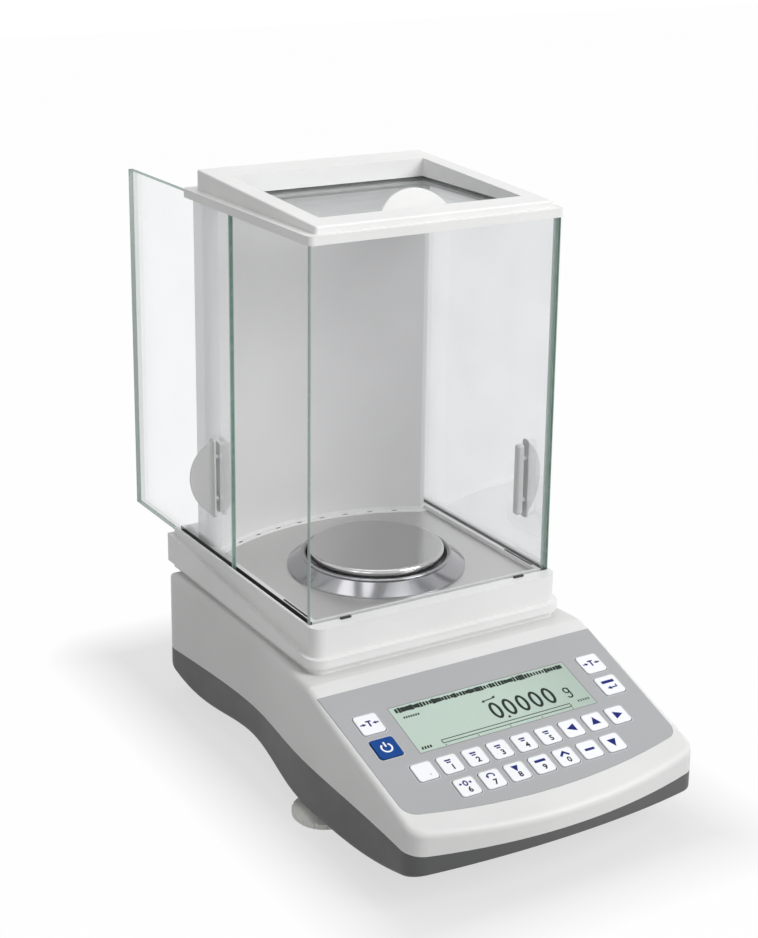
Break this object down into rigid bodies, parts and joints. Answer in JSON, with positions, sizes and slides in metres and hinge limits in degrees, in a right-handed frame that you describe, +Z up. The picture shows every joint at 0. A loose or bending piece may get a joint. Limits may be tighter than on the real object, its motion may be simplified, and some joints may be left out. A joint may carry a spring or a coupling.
{
  "type": "analytical balance",
  "caption": "Analytical balance: sloping keypad with display, round pan in a draft ring, glass draft shield with sliding side doors and sliding top lid.",
  "frame": {"origin": "centre of the overall box at bench level, with the left door pushed back as at rest", "axes": "+Z up from the bench, +Y from the keypad to the rear wall, +X to the right seen from the keypad"},
  "size_m": [0.2076, 0.3964, 0.3635],
  "materials": {
    "case_dark": "fine texture",
    "case_light": "fine texture",
    "overlay_grey": "printed film",
    "display_window": "clear window",
    "display_panel": "liquid crystal cell",
    "circuit_board": "solder mask",
    "spring_steel": "bright",
    "cast_aluminium": "cast",
    "magnet_steel": "turned",
    "turned_steel": "turned",
    "brass_insert": "turned",
    "screw_steel": "zinc plated",
    "socket_steel": "plated shell",
    "socket_plastic": "moulded",
    "shield_plastic": "satin",
    "strip_black": "smooth",
    "plate_steel": "brushed",
    "column_metal": "satin paint",
    "bubble_glass": "clear",
    "pane_glass": "clear, green edges",
    "handle_plastic": "satin",
    "pan_steel": "brushed",
    "ring_steel": "polished",
    "key_blue": "satin",
    "key_white": "satin",
    "foot_plastic": "satin"
  },
  "bodies": {
    "balance": {"bottom_case": "case_dark", "upper_case": "case_light", "keypad_overlay": "overlay_grey", "display_lens": "display_window", "display_module": "display_panel", "keyboard_board": "circuit_board", "key_domes": "spring_steel", "main_board": "circuit_board", "cell_frame": "cast_aluminium", "cell_lever": "cast_aluminium", "cell_magnet": "magnet_steel", "pan_spindle": "turned_steel", "foot_inserts": "brass_insert", "case_screws": "screw_steel", "shield_screws": "screw_steel", "hook_cover": "case_dark", "serial_sockets": "socket_steel", "power_socket": "socket_plastic", "shield_base": "shield_plastic", "slide_strips": "strip_black", "floor_plate": "plate_steel", "rear_column": "column_metal", "level_bubble": "bubble_glass", "top_frame": "shield_plastic", "front_glass": "pane_glass"},
    "left_door": {"left_door": "pane_glass", "left_door_handle": "handle_plastic"},
    "right_door": {"right_door": "pane_glass", "right_door_handle": "handle_plastic"},
    "lid": {"lid": "pane_glass", "lid_handle": "handle_plastic"},
    "pan": {"weighing_pan": "pan_steel"},
    "ring": {"draft_ring": "ring_steel"},
    "key_blank": {"key_blank": "key_white"},
    "key_f1": {"key_f1": "key_white"},
    "key_f2": {"key_f2": "key_white"},
    "key_f3": {"key_f3": "key_white"},
    "key_f4": {"key_f4": "key_white"},
    "key_f5": {"key_f5": "key_white"},
    "key_left": {"key_left": "key_white"},
    "key_up": {"key_up": "key_white"},
    "key_right": {"key_right": "key_white"},
    "key_zero": {"key_zero": "key_white"},
    "key_print": {"key_print": "key_white"},
    "key_select": {"key_select": "key_white"},
    "key_menu": {"key_menu": "key_white"},
    "key_setup": {"key_setup": "key_white"},
    "key_clear": {"key_clear": "key_white"},
    "key_down": {"key_down": "key_white"},
    "key_tare_left": {"key_tare_left": "key_white"},
    "key_power": {"key_power": "key_blue"},
    "key_tare_right": {"key_tare_right": "key_white"},
    "key_enter": {"key_enter": "key_white"},
    "foot_front_left": {"foot_front_left": "foot_plastic"},
    "foot_front_right": {"foot_front_right": "foot_plastic"},
    "foot_rear_left": {"foot_rear_left": "foot_plastic"},
    "foot_rear_right": {"foot_rear_right": "foot_plastic"}
  },
  "joints": [
    {"name": "left_door_slide", "type": "slide", "parent": "balance", "child": "left_door", "axis": [0, 1, 0], "range_m": [-0.0978, 0]},
    {"name": "right_door_slide", "type": "slide", "parent": "balance", "child": "right_door", "axis": [0, 1, 0], "range_m": [0, 0.0978]},
    {"name": "lid_slide", "type": "slide", "parent": "balance", "child": "lid", "axis": [0, 1, 0], "range_m": [0, 0.092]},
    {"name": "pan_lift", "type": "slide", "parent": "balance", "child": "pan", "axis": [0, 0, 1], "range_m": [0, 0.03]},
    {"name": "ring_lift", "type": "slide", "parent": "balance", "child": "ring", "axis": [0, 0, 1], "range_m": [0, 0.02]},
    {"name": "key_blank_press", "type": "slide", "parent": "balance", "child": "key_blank", "axis": [0, 0.3047, -0.9524], "range_m": [0, 0.0004], "stiffness_N_per_m": 2000},
    {"name": "key_f1_press", "type": "slide", "parent": "balance", "child": "key_f1", "axis": [0, 0.3047, -0.9524], "range_m": [0, 0.0004], "stiffness_N_per_m": 2000},
    {"name": "key_f2_press", "type": "slide", "parent": "balance", "child": "key_f2", "axis": [0, 0.3047, -0.9524], "range_m": [0, 0.0004], "stiffness_N_per_m": 2000},
    {"name": "key_f3_press", "type": "slide", "parent": "balance", "child": "key_f3", "axis": [0, 0.3047, -0.9524], "range_m": [0, 0.0004], "stiffness_N_per_m": 2000},
    {"name": "key_f4_press", "type": "slide", "parent": "balance", "child": "key_f4", "axis": [0, 0.3047, -0.9524], "range_m": [0, 0.0004], "stiffness_N_per_m": 2000},
    {"name": "key_f5_press", "type": "slide", "parent": "balance", "child": "key_f5", "axis": [0, 0.3047, -0.9524], "range_m": [0, 0.0004], "stiffness_N_per_m": 2000},
    {"name": "key_left_press", "type": "slide", "parent": "balance", "child": "key_left", "axis": [0, 0.3047, -0.9524], "range_m": [0, 0.0004], "stiffness_N_per_m": 2000},
    {"name": "key_up_press", "type": "slide", "parent": "balance", "child": "key_up", "axis": [0, 0.3047, -0.9524], "range_m": [0, 0.0004], "stiffness_N_per_m": 2000},
    {"name": "key_right_press", "type": "slide", "parent": "balance", "child": "key_right", "axis": [0, 0.3047, -0.9524], "range_m": [0, 0.0004], "stiffness_N_per_m": 2000},
    {"name": "key_zero_press", "type": "slide", "parent": "balance", "child": "key_zero", "axis": [0, 0.3047, -0.9524], "range_m": [0, 0.0004], "stiffness_N_per_m": 2000},
    {"name": "key_print_press", "type": "slide", "parent": "balance", "child": "key_print", "axis": [0, 0.3047, -0.9524], "range_m": [0, 0.0004], "stiffness_N_per_m": 2000},
    {"name": "key_select_press", "type": "slide", "parent": "balance", "child": "key_select", "axis": [0, 0.3047, -0.9524], "range_m": [0, 0.0004], "stiffness_N_per_m": 2000},
    {"name": "key_menu_press", "type": "slide", "parent": "balance", "child": "key_menu", "axis": [0, 0.3047, -0.9524], "range_m": [0, 0.0004], "stiffness_N_per_m": 2000},
    {"name": "key_setup_press", "type": "slide", "parent": "balance", "child": "key_setup", "axis": [0, 0.3047, -0.9524], "range_m": [0, 0.0004], "stiffness_N_per_m": 2000},
    {"name": "key_clear_press", "type": "slide", "parent": "balance", "child": "key_clear", "axis": [0, 0.3047, -0.9524], "range_m": [0, 0.0004], "stiffness_N_per_m": 2000},
    {"name": "key_down_press", "type": "slide", "parent": "balance", "child": "key_down", "axis": [0, 0.3047, -0.9524], "range_m": [0, 0.0004], "stiffness_N_per_m": 2000},
    {"name": "key_tare_left_press", "type": "slide", "parent": "balance", "child": "key_tare_left", "axis": [0, 0.3047, -0.9524], "range_m": [0, 0.0004], "stiffness_N_per_m": 2000},
    {"name": "key_power_press", "type": "slide", "parent": "balance", "child": "key_power", "axis": [0, 0.3047, -0.9524], "range_m": [0, 0.0004], "stiffness_N_per_m": 2000},
    {"name": "key_tare_right_press", "type": "slide", "parent": "balance", "child": "key_tare_right", "axis": [0, 0.3047, -0.9524], "range_m": [0, 0.0004], "stiffness_N_per_m": 2000},
    {"name": "key_enter_press", "type": "slide", "parent": "balance", "child": "key_enter", "axis": [0, 0.3047, -0.9524], "range_m": [0, 0.0004], "stiffness_N_per_m": 2000},
    {"name": "foot_front_left_turn", "type": "hinge", "parent": "balance", "child": "foot_front_left", "pos_m": [-0.0838, -0.06485, 0.01], "axis": [0, 0, 1], "range_deg": [-360, 360]},
    {"name": "foot_front_right_turn", "type": "hinge", "parent": "balance", "child": "foot_front_right", "pos_m": [0.0838, -0.06485, 0.01], "axis": [0, 0, 1], "range_deg": [-360, 360]},
    {"name": "foot_rear_left_turn", "type": "hinge", "parent": "balance", "child": "foot_rear_left", "pos_m": [-0.058, 0.10175, 0.01], "axis": [0, 0, 1], "range_deg": [-360, 360]},
    {"name": "foot_rear_right_turn", "type": "hinge", "parent": "balance", "child": "foot_rear_right", "pos_m": [0.058, 0.10175, 0.01], "axis": [0, 0, 1], "range_deg": [-360, 360]}
  ]
}
